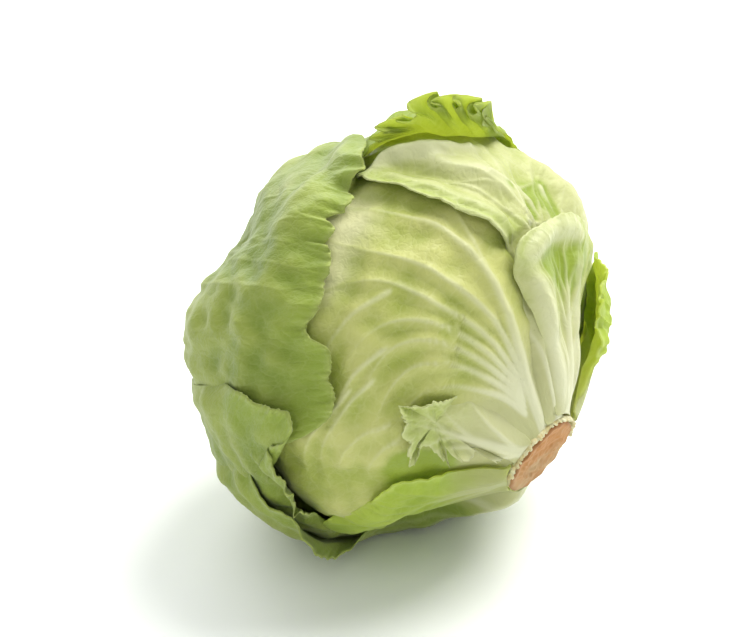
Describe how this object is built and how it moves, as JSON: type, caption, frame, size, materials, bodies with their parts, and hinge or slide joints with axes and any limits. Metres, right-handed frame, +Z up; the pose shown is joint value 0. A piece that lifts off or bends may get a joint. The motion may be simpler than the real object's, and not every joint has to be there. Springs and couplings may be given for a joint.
{
  "type": "iceberg lettuce",
  "caption": "Whole head of iceberg lettuce lying on its side: a packed heart on a short cut stem, wrapped in loose ribbed leaves with ruffled, lobed and torn edges.",
  "frame": {"origin": "on the flat resting spot of the bottom leaf, straight below the middle of the head", "axes": "+Z up, +X the way the cut stem points seen from above, -Y the front that the picture shows from the right"},
  "size_m": [0.1409, 0.1636, 0.1636],
  "materials": {
    "leaf": "waxy leaf, satin",
    "pale_leaf": "waxy pale leaf with white ribs, satin",
    "bright_leaf": "thin ruffled leaf, satin",
    "heart": "waxy pale leaf, satin",
    "stem": "dried cut, matt"
  },
  "bodies": {
    "root": {"stem": "stem", "heart": "heart", "back_leaf": "leaf", "front_leaf": "pale_leaf", "torn_leaf": "pale_leaf", "top_leaf": "pale_leaf", "right_leaf": "pale_leaf", "crest_leaf": "bright_leaf", "rim_leaf": "bright_leaf", "left_leaf": "leaf", "wrap_leaf": "leaf", "low_leaf": "leaf", "bottom_leaf": "leaf", "rear_leaf": "leaf"}
  },
  "joints": []
}
